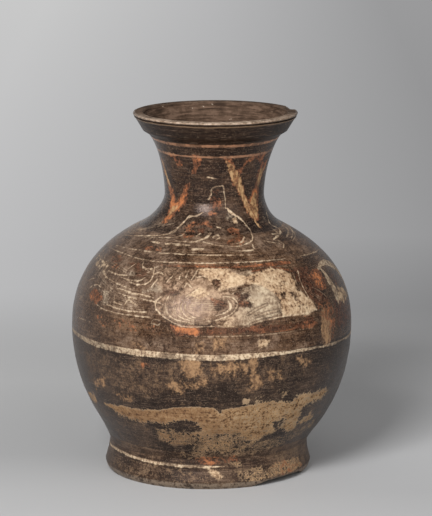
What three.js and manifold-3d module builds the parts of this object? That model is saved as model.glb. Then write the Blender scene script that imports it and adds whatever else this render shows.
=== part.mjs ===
// A hu: a tall wine and storage vase of painted grey earthenware, with a flaring neck, a round belly
// and a hollow foot. It is built as the potter built it: six sections, thrown or beaten apart, then
// luted together with slip on flat seams and wiped smooth. Millimetres, +Z up. The origin is on the
// ground under the middle of the belly, and -Y is the front.

import * as THREE from "three";
import { mergeVertices } from "three/addons/utils/BufferGeometryUtils.js";
import Module from "manifold-3d";

// Heights: the foot, the slab and the belly's widest circle count from the ground, the neck and the
// mouth band from the lip down
const TOTAL_HEIGHT = 400;
const FOOT_HEIGHT = 33;
const SLAB_THICKNESS = 9;
const BELLY_HEIGHT = 160; // where the two thrown halves of the belly meet
const MOUTH_BAND_HEIGHT = 26;
const NECK_HEIGHT = 99;
const WAIST_RISE = 34.5; // from the neck's lower seam to its narrowest circle

// Outside radii at those heights
const FOOT_SPREAD_RADIUS = 115;
const FOOT_TOP_RADIUS = 110.2;
const SLAB_TOP_RADIUS = 114.9;
const BELLY_RADIUS = 155.6;
const NECK_SEAM_RADIUS = 79.2;
const WAIST_RADIUS = 55;
const MOUTH_SEAM_RADIUS = 71.6;
const LIP_RADIUS = 90.9;

// How steeply the outline leans out at the seams: radius gained for each millimetre of height
const SLAB_SLOPE = 0.6;
const NECK_SEAM_SLOPE = -1.9;
const MOUTH_SLOPE = 0.64;

// How far each curve runs on before it bends away: the pull at its lower and at its upper end
const LOWER_BELLY_PULL = [25.6, 63];
const SHOULDER_PULL = [56, 58];
const NECK_ROOT_PULL = [19, 8];
const NECK_FLARE_PULL = [8, 28];

// The foot ring: a worn bevel under the widest place, and the inside faces of its wall
const FOOT_WALL = 10;
const FOOT_SPREAD_HEIGHT = 8;
const FOOT_BEVEL = 4;
const FOOT_BEVEL_ROUND = 1.2; // how far the bevel bulges past the straight line to the ground
const FOOT_BEVEL_ROUND_HEIGHT = 3.6;
const FOOT_HOLLOW = 1.1; // how far its outside is hollowed between the spread and the top
const FOOT_INSIDE_TAPER = 3.5;

// Walls of the thrown sections, measured square to the surface
const BELLY_WALL = 8;
const NECK_WALL = 7.5;

// The mouth: a thick dished band with a drip edge below it, a turned groove and a flat lip
const DRIP_RISE = 2.5;
const DRIP_OVERHANG = 1.9;
const BAND_FOOT_RISE = 6.5;
const BAND_FOOT_INSET = 10.9; // how much narrower than the lip the band is there
const BAND_MIDDLE_RISE = 17.5;
const BAND_MIDDLE_INSET = 4.3;
const GROOVE_BELOW_LIP = 3.4;
const GROOVE_WIDTH = 1.6;
const GROOVE_DEPTH = 0.9;
const LIP_WIDTH = 11.2;
const LIP_ROUNDING = 1;
const LIP_INNER_DROP = 3;
const LIP_INNER_LEAN = 0.4;
const LID_LEDGE = 1.6;

// The sections aren't set quite on one axis: how far each stands to the right of the belly, and
// where each shift begins or ends
const FOOT_SHIFT = -4.1;
const FOOT_MIDDLE_SHIFT = -3.9;
const SHOULDER_SHIFT = -1.4;
const WAIST_SHIFT = 2.8;
const MOUTH_SHIFT = 4.3;
const FOOT_MIDDLE_HEIGHT = 19.8;
const TRUE_ABOVE_SLAB = 20;
const TRUE_ABOVE_BELLY = 50;
const SHOULDER_BELOW_SEAM = 10;

// A long shallow break under the foot's right front edge
const CHIP_AZIMUTH = 51; // degrees from the front towards the right
const CHIP_LENGTH = 76;
const CHIP_DEPTH = 4.2;
const CHIP_STEPS = 12;

// How finely the turned sections are faceted, around and along each curve
const SEGMENTS = 72;
const LOWER_BELLY_STEPS = 9;
const SHOULDER_STEPS = 12;
const NECK_ROOT_STEPS = 7;
const NECK_FLARE_STEPS = 5;

const CLAY = {
  foot: 0x544a43,
  slab: 0x4c433d,
  lowerBelly: 0x4a403a,
  shoulder: 0x5a4a3e,
  neck: 0x473a33,
  mouth: 0x5d4f45,
};

const wasm = await Module();
wasm.setup();

const slabTop = FOOT_HEIGHT + SLAB_THICKNESS;
const mouthSeamHeight = TOTAL_HEIGHT - MOUTH_BAND_HEIGHT;
const neckSeamHeight = mouthSeamHeight - NECK_HEIGHT;
const waistHeight = neckSeamHeight + WAIST_RISE;
const bandFoot = mouthSeamHeight + BAND_FOOT_RISE;
const bandMiddle = mouthSeamHeight + BAND_MIDDLE_RISE;
const grooveTop = TOTAL_HEIGHT - GROOVE_BELOW_LIP;

// The outline between two places on it, each given by radius, height, slope and pull
function outlineCurve(low, high) {
  const along = (slope) => new THREE.Vector2(slope, 1).normalize();
  const start = new THREE.Vector2(low.radius, low.height);
  const end = new THREE.Vector2(high.radius, high.height);
  const leave = along(low.slope).multiplyScalar(low.pull).add(start);
  const arrive = along(high.slope).multiplyScalar(-high.pull).add(end);
  return new THREE.CubicBezierCurve(start, leave, arrive, end);
}

const slabEdge = { radius: SLAB_TOP_RADIUS, height: slabTop, slope: SLAB_SLOPE };
const bellyLine = { radius: BELLY_RADIUS, height: BELLY_HEIGHT, slope: 0 };
const neckSeam = { radius: NECK_SEAM_RADIUS, height: neckSeamHeight, slope: NECK_SEAM_SLOPE };
const waistLine = { radius: WAIST_RADIUS, height: waistHeight, slope: 0 };
const mouthSeam = { radius: MOUTH_SEAM_RADIUS, height: mouthSeamHeight, slope: MOUTH_SLOPE };

function between(low, high, pulls) {
  return outlineCurve({ ...low, pull: pulls[0] }, { ...high, pull: pulls[1] });
}
const lowerBellyCurve = between(slabEdge, bellyLine, LOWER_BELLY_PULL);
const shoulderCurve = between(bellyLine, neckSeam, SHOULDER_PULL);
const neckRootCurve = between(neckSeam, waistLine, NECK_ROOT_PULL);
const neckFlareCurve = between(waistLine, mouthSeam, NECK_FLARE_PULL);

// A curve's points with the wall's inner face behind each, as pairs of [outside, inside]
function wallAlong(curve, steps, wall) {
  const pairs = [];
  for (let i = 0; i <= steps; i++) {
    const outside = curve.getPoint(i / steps);
    const way = curve.getTangent(i / steps);
    const inside = new THREE.Vector2(outside.x - wall / way.y, outside.y);
    pairs.push([outside, inside]);
  }
  return pairs;
}

// The closed section of a wall: up its outside and back down its inside
function sectionOf(pairs) {
  return [...pairs.map((pair) => pair[0]), ...pairs.map((pair) => pair[1]).reverse()];
}

// How far a height stands to the right of the belly: smooth between the places that were set apart
const SHIFTS = [
  [0, FOOT_SHIFT],
  [FOOT_MIDDLE_HEIGHT, FOOT_MIDDLE_SHIFT],
  [slabTop + TRUE_ABOVE_SLAB, 0],
  [BELLY_HEIGHT + TRUE_ABOVE_BELLY, 0],
  [neckSeamHeight - SHOULDER_BELOW_SEAM, SHOULDER_SHIFT],
  [waistHeight, WAIST_SHIFT],
  [TOTAL_HEIGHT, MOUTH_SHIFT],
];
function shiftAt(height) {
  const last = SHIFTS.length - 1;
  const upper = SHIFTS.findIndex((place) => place[0] >= height);
  if (upper === 0) return SHIFTS[0][1];
  if (upper < 0) return SHIFTS[last][1];
  const [lowHeight, lowShift] = SHIFTS[upper - 1];
  const [highHeight, highShift] = SHIFTS[upper];
  const share = THREE.MathUtils.smoothstep(height, lowHeight, highHeight);
  return THREE.MathUtils.lerp(lowShift, highShift, share);
}

// A section turned on the wheel: its closed profile of radius and height, revolved about +Z
function turned(profile) {
  const closed = [...profile, profile[0]];
  return new THREE.LatheGeometry(closed, SEGMENTS).rotateX(Math.PI / 2);
}

// Each ring of a turned section moves sideways by the shift of its height, so that seams stay matched
function setOffAxis(geometry) {
  const place = geometry.attributes.position;
  for (let i = 0; i < place.count; i++) {
    place.setX(i, place.getX(i) + shiftAt(place.getZ(i)));
  }
  return geometry;
}

function toSolid(geometry) {
  const bare = geometry.clone();
  bare.deleteAttribute("normal");
  bare.deleteAttribute("uv");
  const merged = mergeVertices(bare, 1e-4);
  return new wasm.Manifold(
    new wasm.Mesh({
      numProp: 3,
      vertProperties: merged.attributes.position.array,
      triVerts: new Uint32Array(merged.index.array),
    }),
  );
}

function toGeometry(solid) {
  const mesh = solid.getMesh();
  const geometry = new THREE.BufferGeometry();
  geometry.setAttribute("position", new THREE.BufferAttribute(mesh.vertProperties, 3));
  geometry.setIndex(new THREE.BufferAttribute(mesh.triVerts, 1));
  geometry.computeVertexNormals();
  return geometry;
}

// What broke away under the foot: a long segment of a circle, pushed in through the wall
function chipShape() {
  const half = CHIP_LENGTH / 2;
  const radius = (half * half + CHIP_DEPTH * CHIP_DEPTH) / (2 * CHIP_DEPTH);
  const reach = Math.asin(half / radius);
  const points = [];
  for (let i = 0; i <= CHIP_STEPS; i++) {
    const angle = reach * ((2 * i) / CHIP_STEPS - 1);
    const rise = radius * Math.cos(angle) - (radius - CHIP_DEPTH);
    points.push(new THREE.Vector2(radius * Math.sin(angle), rise));
  }
  points.push(new THREE.Vector2(half, -CHIP_DEPTH), new THREE.Vector2(-half, -CHIP_DEPTH));
  const depth = FOOT_WALL * 3;
  const inside = FOOT_SPREAD_RADIUS - FOOT_WALL * 2;
  return new THREE.ExtrudeGeometry(new THREE.Shape(points), { depth, bevelEnabled: false })
    .rotateX(Math.PI / 2)
    .translate(0, -inside, 0)
    .rotateZ(THREE.MathUtils.degToRad(CHIP_AZIMUTH))
    .translate(FOOT_SHIFT, 0, 0);
}

function footRing() {
  const middle = (FOOT_SPREAD_HEIGHT + FOOT_HEIGHT) / 2;
  const middleRadius = (FOOT_SPREAD_RADIUS + FOOT_TOP_RADIUS) / 2 - FOOT_HOLLOW;
  const standRadius = FOOT_SPREAD_RADIUS - FOOT_BEVEL;
  const profile = [
    [standRadius - FOOT_WALL, 0],
    [standRadius, 0],
    [FOOT_SPREAD_RADIUS - FOOT_BEVEL_ROUND, FOOT_BEVEL_ROUND_HEIGHT],
    [FOOT_SPREAD_RADIUS, FOOT_SPREAD_HEIGHT],
    [middleRadius, middle],
    [FOOT_TOP_RADIUS, FOOT_HEIGHT],
    [FOOT_TOP_RADIUS - FOOT_WALL - FOOT_INSIDE_TAPER, FOOT_HEIGHT],
    [standRadius - FOOT_WALL - FOOT_INSIDE_TAPER / 2, middle],
  ].map(([radius, height]) => new THREE.Vector2(radius, height));
  const ring = toSolid(setOffAxis(turned(profile)));
  return toGeometry(ring.subtract(toSolid(chipShape())));
}

// The beaten slab that closes the vase: it lies on the foot ring, and the belly stands on it
function baseSlab() {
  const middle = (FOOT_HEIGHT + slabTop) / 2;
  const middleRadius = SLAB_TOP_RADIUS - (SLAB_SLOPE * SLAB_THICKNESS) / 2;
  const profile = [
    [0, FOOT_HEIGHT],
    [FOOT_TOP_RADIUS, FOOT_HEIGHT],
    [middleRadius, middle],
    [SLAB_TOP_RADIUS, slabTop],
    [0, slabTop],
  ].map(([radius, height]) => new THREE.Vector2(radius, height));
  return setOffAxis(turned(profile));
}

function lowerBelly() {
  return setOffAxis(turned(sectionOf(wallAlong(lowerBellyCurve, LOWER_BELLY_STEPS, BELLY_WALL))));
}

function shoulder() {
  return setOffAxis(turned(sectionOf(wallAlong(shoulderCurve, SHOULDER_STEPS, BELLY_WALL))));
}

function neck() {
  const root = wallAlong(neckRootCurve, NECK_ROOT_STEPS, NECK_WALL);
  const flare = wallAlong(neckFlareCurve, NECK_FLARE_STEPS, NECK_WALL);
  return setOffAxis(turned(sectionOf([...root, ...flare.slice(1)])));
}

function mouthBand() {
  const seamInside = MOUTH_SEAM_RADIUS - NECK_WALL * Math.hypot(1, MOUTH_SLOPE);
  const lipInside = LIP_RADIUS - LIP_WIDTH;
  const grooveBottom = grooveTop - GROOVE_WIDTH;
  const outAt = (height) => {
    const share = (height - bandMiddle) / (TOTAL_HEIGHT - LIP_ROUNDING - bandMiddle);
    return LIP_RADIUS - BAND_MIDDLE_INSET * (1 - share);
  };
  const profile = [
    [seamInside, mouthSeamHeight],
    [MOUTH_SEAM_RADIUS, mouthSeamHeight],
    [MOUTH_SEAM_RADIUS + DRIP_OVERHANG, mouthSeamHeight + DRIP_RISE],
    [LIP_RADIUS - BAND_FOOT_INSET, bandFoot],
    [outAt(bandMiddle), bandMiddle],
    [outAt(grooveBottom), grooveBottom],
    [outAt(grooveTop) - GROOVE_DEPTH, (grooveBottom + grooveTop) / 2],
    [outAt(grooveTop), grooveTop],
    [LIP_RADIUS, TOTAL_HEIGHT - LIP_ROUNDING],
    [LIP_RADIUS - LIP_ROUNDING, TOTAL_HEIGHT],
    [lipInside, TOTAL_HEIGHT],
    [lipInside - LIP_INNER_LEAN, TOTAL_HEIGHT - LIP_INNER_DROP],
    [lipInside - LID_LEDGE, TOTAL_HEIGHT - LIP_INNER_DROP],
  ].map(([radius, height]) => new THREE.Vector2(radius, height));
  return setOffAxis(turned(profile));
}

function piece(name, geometry, colour, roughness) {
  const material = new THREE.MeshStandardMaterial({ color: colour, roughness, metalness: 0 });
  const mesh = new THREE.Mesh(geometry, material);
  mesh.name = name;
  return mesh;
}

const hu = new THREE.Group();
hu.add(
  piece("foot_ring", footRing(), CLAY.foot, 0.75),
  piece("base_slab", baseSlab(), CLAY.slab, 0.85),
  piece("lower_belly", lowerBelly(), CLAY.lowerBelly, 0.6),
  piece("shoulder", shoulder(), CLAY.shoulder, 0.45),
  piece("neck", neck(), CLAY.neck, 0.45),
  piece("mouth_band", mouthBand(), CLAY.mouth, 0.55),
);

export default hu;
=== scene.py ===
import math
from functools import partial

import bpy
import numpy as np
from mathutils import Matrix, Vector, noise


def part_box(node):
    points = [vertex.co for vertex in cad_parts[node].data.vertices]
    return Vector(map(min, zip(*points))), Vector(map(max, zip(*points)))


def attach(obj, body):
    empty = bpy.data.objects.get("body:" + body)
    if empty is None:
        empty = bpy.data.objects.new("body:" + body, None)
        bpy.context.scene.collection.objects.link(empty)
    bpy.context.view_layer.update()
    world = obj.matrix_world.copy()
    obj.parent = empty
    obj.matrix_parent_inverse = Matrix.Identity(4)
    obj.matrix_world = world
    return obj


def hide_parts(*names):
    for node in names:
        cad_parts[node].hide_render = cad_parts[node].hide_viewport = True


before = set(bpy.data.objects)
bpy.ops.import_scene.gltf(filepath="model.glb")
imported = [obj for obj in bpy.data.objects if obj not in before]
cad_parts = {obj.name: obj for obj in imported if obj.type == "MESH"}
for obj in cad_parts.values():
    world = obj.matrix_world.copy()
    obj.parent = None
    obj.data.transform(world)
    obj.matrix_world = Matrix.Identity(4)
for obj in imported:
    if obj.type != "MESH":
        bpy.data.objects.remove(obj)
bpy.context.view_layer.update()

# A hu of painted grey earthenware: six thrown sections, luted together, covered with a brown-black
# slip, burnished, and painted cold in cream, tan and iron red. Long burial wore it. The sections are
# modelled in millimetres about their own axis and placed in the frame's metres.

MM = 0.001

# Camera: an ordinary long lens a few steps away, looking slightly down on the vase
LENS_MM = 212.8
SENSOR_MM = 36
CAMERA_PLACE = (0.0048, -3.33, 0.88)
CAMERA_DIP = math.radians(10.954)

camera_data = bpy.data.cameras.new("camera")
camera_data.lens = LENS_MM
camera_data.sensor_width = SENSOR_MM
camera = bpy.data.objects.new("camera", camera_data)
bpy.context.scene.collection.objects.link(camera)
camera.location = CAMERA_PLACE
camera.rotation_euler = (math.pi / 2 - CAMERA_DIP, 0, 0)
bpy.context.scene.camera = camera


# The section drawing. Heights and the main radii come from the frame, in millimetres.
def half_width(node):
    low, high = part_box(node)
    return (high.y - low.y) / 2 / MM


def bottom(node):
    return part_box(node)[0].z / MM


def top(node):
    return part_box(node)[1].z / MM


FOOT_TOP = top("foot_ring")
SLAB_TOP = top("base_slab")
BELLY_LINE = top("lower_belly")
NECK_SEAM = bottom("neck")
MOUTH_SEAM = bottom("mouth_band")
LIP_TOP = top("mouth_band")
FOOT_SPREAD = half_width("foot_ring")
SLAB_RADIUS = half_width("base_slab")
BELLY_RADIUS = half_width("lower_belly")
NECK_SEAM_RADIUS = half_width("neck")
LIP_RADIUS = half_width("mouth_band")
FOOT_TOP_RADIUS = 110.2
WAIST_HEIGHT = 309.5
WAIST_RADIUS = 55
MOUTH_SEAM_RADIUS = 71.6

SLAB_SLOPE = 0.6
NECK_SEAM_SLOPE = -1.9
MOUTH_SLOPE = 0.64

FOOT_WALL = 10
FOOT_TAPER = 3.5
FOOT_BEVEL = 4
FOOT_HOLLOW = 1.1
SPREAD_HEIGHT = 8
BELLY_WALL = 8
NECK_WALL = 7.5
LIP_WIDTH = 11.2
LID_LEDGE = 1.6
LEDGE_DROP = 3


# A stretch of outline that bends between two places, each a radius, height, slope and pull
def bend(low, high, count):
    ends = []
    for radius, height, slope, pull in (low, high):
        way = np.array((slope, 1.0)) / math.hypot(slope, 1)
        ends.append((np.array((radius, height), float), way * pull))
    (start, leave), (end, arrive) = ends
    t = np.linspace(0, 1, count + 1)[:, None]
    controls = (start, start + leave, end - arrive, end)
    weights = ((1 - t) ** 3, 3 * (1 - t) ** 2 * t, 3 * (1 - t) * t**2, t**3)
    return sum(weight * point for weight, point in zip(weights, controls))


# Straight stretches of outline through a few corners, cut into steps of about one size
def straight(corners, step):
    points = [np.array(corners[0], float)]
    for start, end in zip(corners, corners[1:]):
        start, end = np.array(start, float), np.array(end, float)
        count = max(1, round(np.linalg.norm(end - start) / step))
        points += [start + (end - start) * (i + 1) / count for i in range(count)]
    return np.array(points)


# The inner face of a wall, square behind the outline and coarser than it
def behind(outline, wall, every):
    slope = np.gradient(outline[:, 0], outline[:, 1])
    inner = np.column_stack((outline[:, 0] - wall * np.hypot(1, slope), outline[:, 1]))
    picked = list(range(0, len(inner) - 1, every)) + [len(inner) - 1]
    return inner[picked]


SLAB_EDGE = (SLAB_RADIUS, SLAB_TOP, SLAB_SLOPE)
BELLY = (BELLY_RADIUS, BELLY_LINE, 0)
NECK_ROOT = (NECK_SEAM_RADIUS, NECK_SEAM, NECK_SEAM_SLOPE)
WAIST = (WAIST_RADIUS, WAIST_HEIGHT, 0)
MOUTH_ROOT = (MOUTH_SEAM_RADIUS, MOUTH_SEAM, MOUTH_SLOPE)
OUTLINES = {
    "lower_belly": bend((*SLAB_EDGE, 25.6), (*BELLY, 63), 76),
    "shoulder": bend((*BELLY, 56), (*NECK_ROOT, 58), 100),
    "neck_root": bend((*NECK_ROOT, 19), (*WAIST, 8), 36),
    "neck_flare": bend((*WAIST, 8), (*MOUTH_ROOT, 28), 56),
    "foot": straight(
        [
            (FOOT_SPREAD - FOOT_BEVEL, 0),
            (FOOT_SPREAD - FOOT_BEVEL * 0.3, SPREAD_HEIGHT * 0.45),
            (FOOT_SPREAD, SPREAD_HEIGHT),
            ((FOOT_SPREAD + FOOT_TOP_RADIUS) / 2 - FOOT_HOLLOW, (SPREAD_HEIGHT + FOOT_TOP) / 2),
            (FOOT_TOP_RADIUS, FOOT_TOP),
        ],
        1.1,
    ),
    "slab": straight([(FOOT_TOP_RADIUS, FOOT_TOP), (SLAB_RADIUS, SLAB_TOP)], 1.5),
    "mouth": straight(
        [
            (MOUTH_SEAM_RADIUS, MOUTH_SEAM),
            (MOUTH_SEAM_RADIUS + 1.9, MOUTH_SEAM + 2.5),
            (80, MOUTH_SEAM + 6.5),
            (86.6, MOUTH_SEAM + 17.5),
            (88.6, LIP_TOP - 5.6),
            (89.5, LIP_TOP - 4.9),
            (89.7, LIP_TOP - 4.2),
            (88.9, LIP_TOP - 3.6),
            (89.3, LIP_TOP - 2.9),
            (90.5, LIP_TOP - 2.4),
            (LIP_RADIUS, LIP_TOP - 1.2),
            (LIP_RADIUS - 0.5, LIP_TOP - 0.3),
            (LIP_RADIUS - 1.4, LIP_TOP),
        ],
        1.1,
    ),
}
UPWARD = ("foot", "slab", "lower_belly", "shoulder", "neck_root", "neck_flare", "mouth")
SURFACE = np.vstack([OUTLINES[part] for part in UPWARD])
SURFACE = SURFACE[SURFACE[:, 1] < LIP_TOP]


def outer_radius(height):
    return np.interp(height, SURFACE[:, 1], SURFACE[:, 0])


# The sections aren't set on one axis: how far each height stands to the right of the belly
SHIFTS = (
    (0, -4.1),
    (FOOT_TOP * 0.6, -3.9),
    (SLAB_TOP + 20, 0),
    (BELLY_LINE + 50, 0),
    (NECK_SEAM - 10, -1.4),
    (WAIST_HEIGHT, 2.8),
    (LIP_TOP, 4.3),
)


def shift(height):
    heights, shifts = np.array(SHIFTS, float).T
    place = np.interp(height, heights, np.arange(len(heights)))
    low = np.minimum(place.astype(int), len(heights) - 2)
    share = place - low
    share = share * share * (3 - 2 * share)
    return shifts[low] * (1 - share) + shifts[low + 1] * share


# Where an angle round the vase, in degrees from the front to the right, and a height lie on its skin
def on_skin(angle, height):
    angle, radius = np.radians(angle), outer_radius(height)
    return np.column_stack((radius * np.sin(angle), -radius * np.cos(angle), height))


# How many steps of a given length there are between two places
def steps_between(here, there, step):
    ends = on_skin(np.array((here[0], there[0])), np.array((here[1], there[1])))
    turn = np.radians(abs(there[0] - here[0])) * outer_radius((here[1] + there[1]) / 2)
    return max(2, math.ceil(math.hypot(turn, *(ends[1] - ends[0])[2:]) / step))


# Brushwork. A stroke is a run of places: degrees from the front to the right, millimetres up, and half
# of the line's width in millimetres. A combed stroke has further fine lines beside its own.
STROKE_STEP = 0.9


def smooth_run(places):
    places = np.array(places, float)
    ends = np.vstack((2 * places[0] - places[1], places, 2 * places[-1] - places[-2]))
    run = []
    for a, b, c, d in zip(ends, ends[1:], ends[2:], ends[3:]):
        t = np.linspace(0, 1, steps_between(b, c, STROKE_STEP), endpoint=False)[:, None]
        bow = (2 * a - 5 * b + 4 * c - d) * t**2 + (3 * b - a - 3 * c + d) * t**3
        run.append(0.5 * (2 * b + (c - a) * t + bow))
    return np.vstack(run + [places[-1:]])


# The same brushwork further round the vase
def turned(work, degrees, rise=0):
    def moved(place):
        return (place[0] + degrees, place[1] + rise, *place[2:])

    return [(key, [moved(place) for place in places]) for key, places in work]


# Millimetres between the lines of a comb; so wide for a single line that it has no other beside it
SINGLE = 60
COMB_PITCH = 4.2
FINE_PITCH = 2.1

# Level lines: the wide band at the belly's widest circle, thin ones above it, one on the foot
BELLY_BAND = [
    (0, [(-180, 158, 3.0), (-130, 157, 3.2), (-90, 159, 1.8), (-72, 159, 2.6), (-50, 158, 3.4),
         (-25, 158, 3.8), (0, 157, 3.5), (14, 158, 3.3), (24, 158, 2.6), (33, 158, 1.6),
         (40, 158, 2.0), (49, 157, 1.1), (57, 156, 1.9), (66, 156, 1.2), (84, 155, 2.2),
         (130, 157, 3.2), (180, 158, 3.0)]),
]
LEVEL_LINES = [
    (0, [(-74, 256, 0.2), (-55, 258, 0.4), (-30, 259, 0.6), (0, 259, 0.6), (25, 258, 0.3)]),
    (0, [(57, 250, 0.6), (68, 249, 0.6), (85, 247, 0.5)]),
    (0, [(-14, 180, 0.2), (0, 180, 0.4), (25, 180, 0.4), (45, 180, 0.3)]),
    (0, [(100, 258, 0.5), (140, 259, 0.9), (200, 258, 0.7)]),
]
LEVEL_LINES_LOW = [
    (0, [(-78, 252, 0.4), (-57, 253, 0.5), (-37, 251, 0.6), (-10, 252, 0.7), (23, 252, 0.7),
         (45, 251, 0.3)]),
    (0, [(110, 252, 0.5), (160, 253, 0.9), (230, 252, 0.5)]),
]
FOOT_LINE = [
    (0, [(-120, 27, 0.9), (-82, 27, 1.2), (-66, 28, 1.5), (-34, 26, 1.8), (-6, 25, 1.6), (3, 25, 1.2),
         (9, 25, 0.4)]),
    (0, [(130, 26, 0.7), (170, 27, 1.2), (215, 27, 0.7)]),
]

# The cloud that climbs from the shoulder on to the neck
CLOUD_HEAD = [
    (0, [(-6, 312, 1.2), (-3, 317, 0.8), (-3, 322, 0.8), (2, 325, 1.1), (7, 326, 0.8), (10, 325, 1.2),
         (11, 319, 0.7), (13, 310, 0.6), (13, 302, 0.6), (15, 301, 1.2), (20, 296, 1.7),
         (25, 293, 1.1), (29, 290, 1.3), (33, 284, 0.8), (35, 279, 1.0), (34, 275, 1.0),
         (32, 271, 0.8), (27, 268, 0.7), (18, 266, 0.6), (7, 267, 0.7), (-5, 270, 0.6)]),
    (0, [(-12, 297, 0.9), (-17, 294, 1.4), (-21, 293, 0.8), (-25, 292, 1.5), (-27, 289, 0.9),
         (-29, 285, 1.6), (-31, 281, 1.1), (-32, 278, 1.9), (-34, 276, 1.7), (-38, 274, 0.7),
         (-50, 271, 0.7), (-80, 265, 0.5)]),
    (0, [(-7, 336, 1.1), (1, 334, 0.9)]),
]
CLOUD_INNER = [
    (0, [(-31, 267, 1.2), (-21, 267, 1.4), (-14, 267, 0.8)]),
    (0, [(-1, 277, 1.6), (-3, 274, 1.3), (-7, 272, 1.0), (-12, 270, 0.8), (-25, 270, 0.5)]),
    (0, [(2, 274, 0.8), (5, 276, 0.9), (7, 274, 0.9), (4, 272, 0.6)]),
    (0, [(16, 262, 0.6), (27, 262, 0.9), (29, 266, 0.8)]),
    (0, [(26, 273, 0.8), (22, 269, 0.9), (14, 268, 0.6)]),
    (0, [(-43, 267, 0.8), (-37, 267, 1.3)]),
]
CLOUD_FINE = [
    (0, [(-22, 278, 0.6), (-23, 275, 0.7), (-31, 272, 0.7), (-41, 271, 0.5), (-52, 269, 0.4)]),
    (0, [(-11, 264, 1.3), (-5, 264, 1.5)]),
    (0, [(-11, 275, 0.8), (-9, 277, 0.8)]),
    (0, [(5, 283, 0.7), (8, 282, 0.8)]),
    (1, [(-74, 271, 0.3), (-54, 279, 0.4), (-42, 283, 0.3)]),
]
CLOUD_TAIL = [
    (0, [(74, 292, 0.6), (67, 284, 0.6), (64, 279, 0.7), (68, 275, 0.8), (65, 272, 0.9),
         (57, 270, 1.0), (49, 268, 0.8)]),
    (0, [(83, 275, 0.6), (79, 271, 0.8), (63, 267, 0.6)]),
    (0, [(52, 266, 0.7), (53, 263, 0.8), (50, 260, 0.7)]),
]
CLOUD_TAIL_INNER = [
    (0, [(60, 276, 0.8), (60, 272, 1.0), (53, 272, 0.7)]),
    (0, [(86, 270, 0.6), (78, 266, 0.7), (65, 263, 0.5)]),
    (0, [(40, 268, 0.5), (50, 264, 0.6)]),
]

# The scrolls at the left, drawn with a nearly dry brush
SCROLL = [
    (0, [(-58, 235, 0.7), (-51, 234, 0.9), (-44, 235, 0.8)]),
    (0, [(-62, 233, 1.3), (-57, 229, 1.0), (-52, 227, 0.7), (-44, 225, 0.7), (-38, 223, 0.4)]),
    (0, [(-40, 229, 0.6), (-35, 228, 0.9), (-31, 230, 0.9), (-29, 234, 1.0), (-29, 241, 1.0),
         (-30, 246, 0.6)]),
    (0, [(-46, 221, 0.6), (-42, 221, 0.8), (-36, 219, 1.1), (-31, 219, 0.9), (-26, 217, 0.6)]),
    (0, [(-30, 214, 0.9), (-24, 213, 1.0), (-21, 211, 0.6)]),
    (0, [(-46, 213, 0.7), (-46, 210, 1.1), (-45, 207, 1.0), (-41, 206, 0.8)]),
    (0, [(-49, 203, 0.9), (-45, 202, 1.1), (-35, 201, 0.9), (-28, 202, 0.9)]),
    (0, [(-76, 241, 0.7), (-69, 240, 0.9), (-62, 238, 0.9)]),
    (0, [(-68, 206, 0.5), (-67, 213, 0.7), (-62, 219, 0.8), (-56, 218, 0.6)]),
    (0, [(-25, 191, 0.6), (-24, 195, 0.7), (-21, 194, 0.6), (-22, 190, 0.7), (-25, 191, 0.6)]),
    (0, [(-70, 179, 0.7), (-59, 180, 0.5)]),
]
SCROLL_INNER = [
    (0, [(-46, 232, 0.6), (-40, 231, 1.0), (-35, 232, 1.1), (-33, 235, 0.8)]),
    (0, [(-38, 249, 0.9), (-37, 245, 1.1), (-34, 243, 1.3), (-31, 244, 1.2)]),
    (0, [(-45, 241, 0.5), (-42, 247, 0.5)]),
    (0, [(-44, 217, 0.6), (-37, 215, 0.9), (-34, 214, 0.7)]),
    (0, [(-39, 207, 0.8), (-38, 212, 1.1), (-35, 210, 1.0), (-32, 207, 0.7)]),
    (0, [(-56, 200, 0.7), (-48, 197, 0.7), (-33, 197, 0.8), (-26, 197, 1.0)]),
    (0, [(-72, 218, 0.7), (-69, 222, 0.8), (-66, 224, 0.5)]),
    (0, [(-28, 240, 0.8), (-26, 242, 1.0), (-24, 240, 0.9)]),
    (0, [(-28, 228, 0.8), (-26, 235, 0.9)]),
    (0, [(-19, 239, 0.9), (-21, 233, 0.8)]),
    (0, [(-12, 239, 0.9), (-11, 244, 0.9)]),
    (0, [(-9, 237, 0.8), (-7, 244, 1.0)]),
    (0, [(-15, 241, 0.7), (-15, 237, 0.7)]),
    (0, [(-12, 230, 0.7), (-11, 233, 1.0), (-9, 230, 0.8)]),
]

# The great eddy in the middle, oval rings with the finest lines inside them
EDDY = [
    (0, [(-22, 219, 0.7), (-24, 214, 0.9), (-24, 208, 0.9), (-22, 203, 0.9), (-19, 198, 0.9),
         (-15, 193, 0.9), (-11, 190, 0.9), (-5, 190, 0.7), (2, 191, 0.5)]),
    (0, [(-15, 211, 0.6), (-15, 204, 0.7), (-12, 199, 0.8), (-8, 196, 0.6)]),
    (0, [(-11, 214, 0.6), (-11, 208, 0.7), (-9, 202, 0.7), (-6, 199, 0.6), (-3, 198, 0.5)]),
    (0, [(7, 217, 0.9), (8, 213, 1.3), (8, 209, 1.4), (6, 205, 1.1), (2, 202, 0.7)]),
    (0, [(9, 223, 0.6), (11, 225, 0.8), (14, 225, 0.5)]),
    (0, [(16, 192, 0.8), (22, 195, 1.0), (30, 197, 1.0), (40, 197, 1.1), (49, 198, 0.9)]),
    (0, [(47, 238, 0.7), (45, 230, 0.7), (45, 222, 0.7), (46, 212, 0.6)]),
]
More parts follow.
